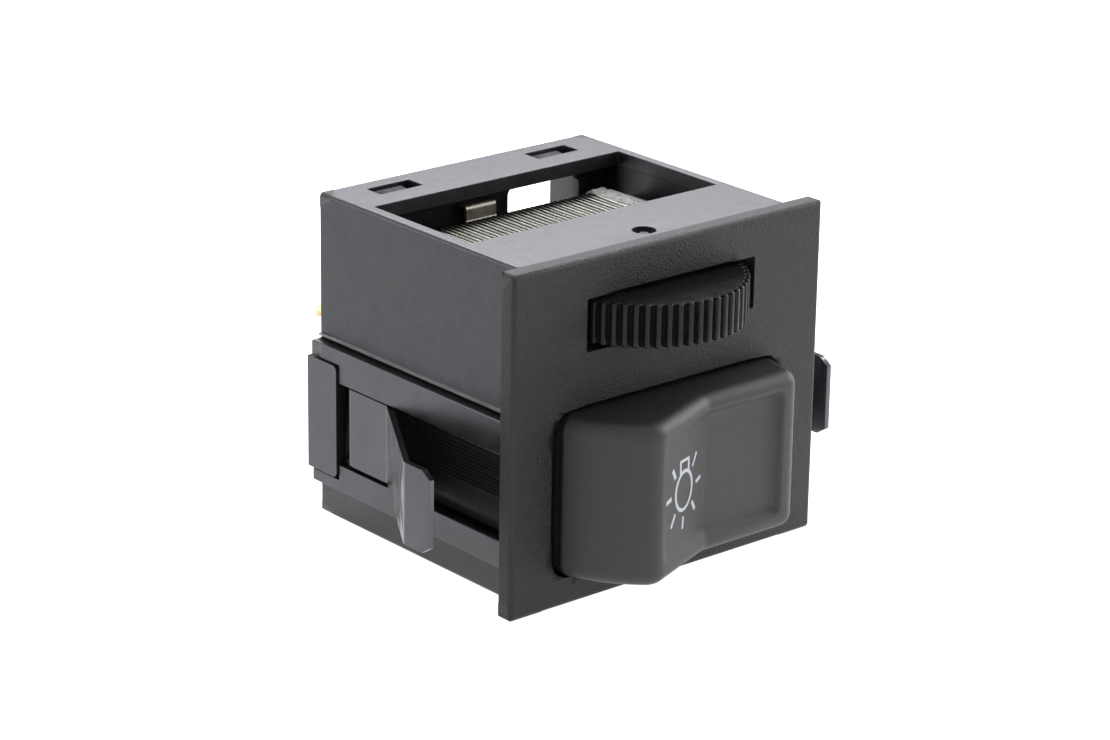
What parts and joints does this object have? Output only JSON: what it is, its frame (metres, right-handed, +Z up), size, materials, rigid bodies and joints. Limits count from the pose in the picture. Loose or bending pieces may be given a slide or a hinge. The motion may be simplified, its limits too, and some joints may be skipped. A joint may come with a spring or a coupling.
{
  "type": "headlight switch",
  "caption": "Dashboard headlight switch: square bezel, tilting rocker with a lamp symbol, ribbed dimmer thumbwheel, wire-wound resistor under a top window, spring clips, rear blade terminals.",
  "frame": {"origin": "under the middle of the whole part, level with the bezel's bottom edge", "axes": "+X to the right seen from the driver, along the width over the clips; +Y from the bezel into the dashboard; +Z up"},
  "size_m": [0.069, 0.0618, 0.0456],
  "materials": {
    "housing_plastic": "black moulded plastic, fine grain on the bezel and satin on the body",
    "cover_plastic": "black moulded plastic, satin",
    "rocker_plastic": "black plastic, smooth matt, white printed lamp symbol",
    "wheel_plastic": "black plastic, satin",
    "acetal": "natural off-white, slightly glossy",
    "steel": "bright drawn steel",
    "clip_steel": "grey spring steel, satin, bright sheared edges",
    "bright_strip": "nickel-plated strip",
    "resistance_wire": "bare resistance wire",
    "ceramic": "unglazed beige ceramic",
    "brass": "stamped brass, bright",
    "bronze": "phosphor bronze spring leaf"
  },
  "bodies": {
    "case": {"housing": "housing_plastic", "rear_cover": "cover_plastic", "rocker_axle": "steel", "detent_cam": "acetal", "wheel_axle": "steel", "collector": "brass", "resistor_former": "ceramic", "resistor_winding": "resistance_wire", "resistor_feed": "bright_strip", "clip_left": "clip_steel", "clip_right": "clip_steel", "terminal_1": "brass", "terminal_2": "brass", "terminal_3": "brass", "terminal_4": "brass", "terminal_5": "brass", "terminal_6": "brass", "terminal_7": "brass", "terminal_8": "brass"},
    "rocker": {"rocker": "rocker_plastic", "detent_spring": "steel"},
    "plunger": {"detent_plunger": "acetal"},
    "slide": {"contact_slide": "acetal", "bridge_upper": "brass", "bridge_lower": "brass", "bridge_spring_upper": "steel", "bridge_spring_lower": "steel"},
    "wheel": {"dimmer_wheel": "wheel_plastic", "wiper": "bronze"}
  },
  "joints": [
    {"name": "rocker_tilt", "type": "hinge", "parent": "case", "child": "rocker", "pos_m": [0, -0.01535, 0.015], "axis": [0, 0, -1], "range_deg": [0, 18]},
    {"name": "plunger_slide", "type": "slide", "parent": "rocker", "child": "plunger", "axis": [0, -1, 0], "range_m": [-0.00055, 0.001], "stiffness_N_per_m": 400, "springref_m": -0.003, "deforming": ["detent_spring"]},
    {"name": "contact_travel", "type": "slide", "parent": "case", "child": "slide", "axis": [1, 0, 0], "range_m": [0, 0.00557]},
    {"name": "wheel_turn", "type": "hinge", "parent": "case", "child": "wheel", "pos_m": [0, -0.01485, 0.0365], "axis": [0, 0, 1], "range_deg": [-38, 38]}
  ],
  "couplings": [
    {"joint": "contact_travel", "follows": "rocker_tilt", "m_per_rad": 0.017706}
  ]
}
